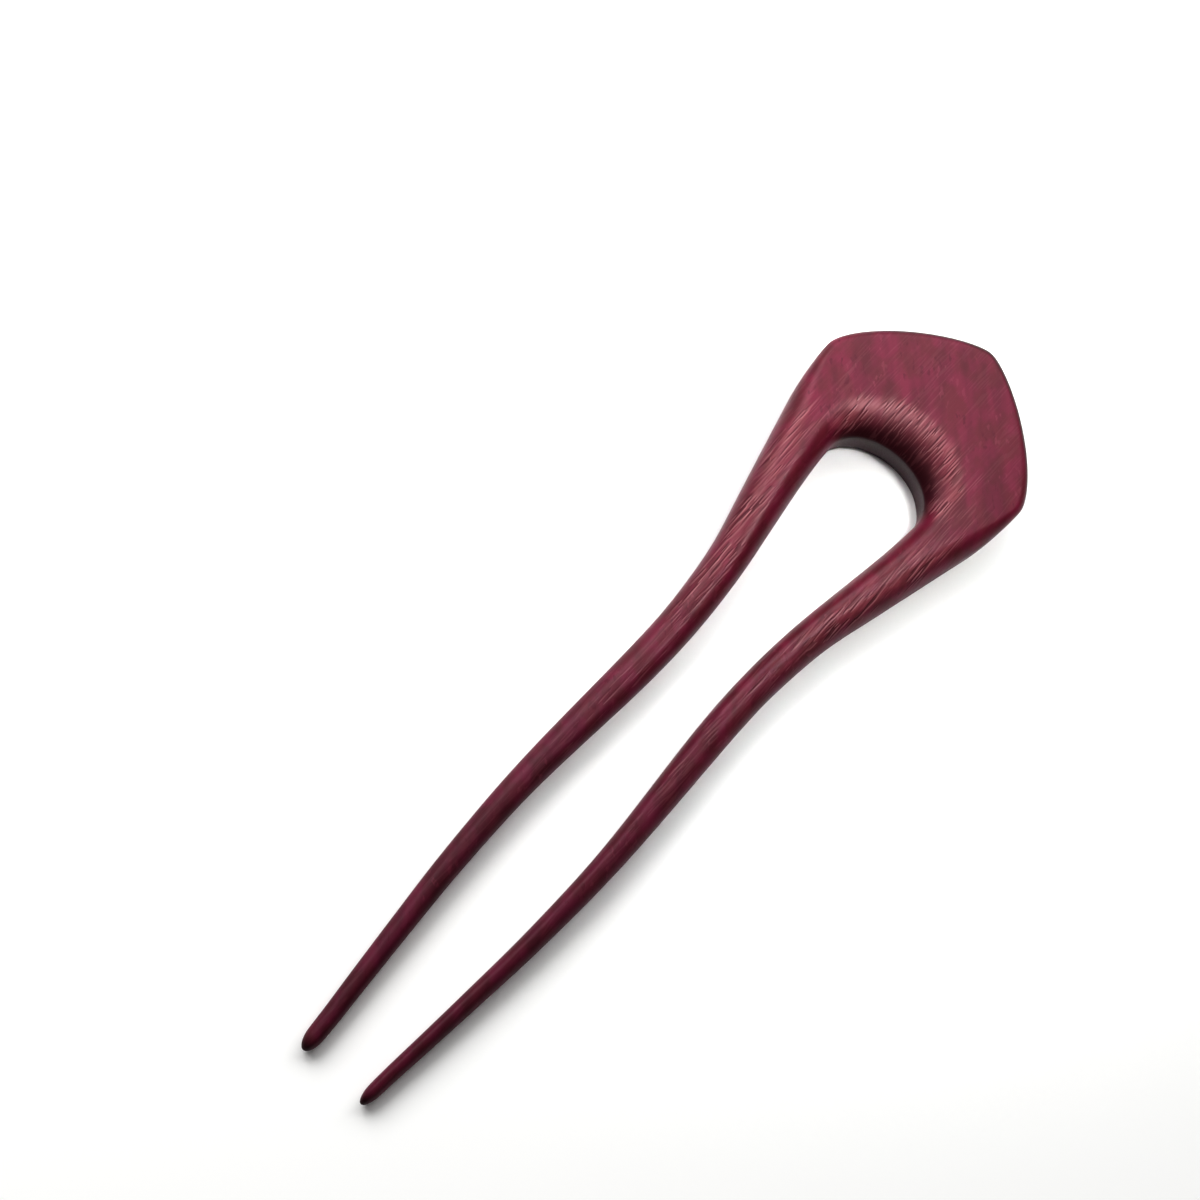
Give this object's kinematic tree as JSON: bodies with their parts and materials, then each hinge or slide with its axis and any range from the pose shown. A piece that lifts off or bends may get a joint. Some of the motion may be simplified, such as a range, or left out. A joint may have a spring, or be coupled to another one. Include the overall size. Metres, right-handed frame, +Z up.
{
  "type": "hair fork",
  "caption": "Wooden hair fork with a shield-shaped head, a rounded eye and wavy tapering prongs.",
  "frame": {"origin": "on the plane that the fork lies on, below the centre of its bounding box", "axes": "+Y along the fork from its tips to its head, +X across it, +Z up from its back to its face"},
  "size_m": [0.0412, 0.155, 0.009],
  "materials": {
    "purpleheart": "oiled satin"
  },
  "bodies": {
    "root": {"fork": "purpleheart"}
  },
  "joints": []
}
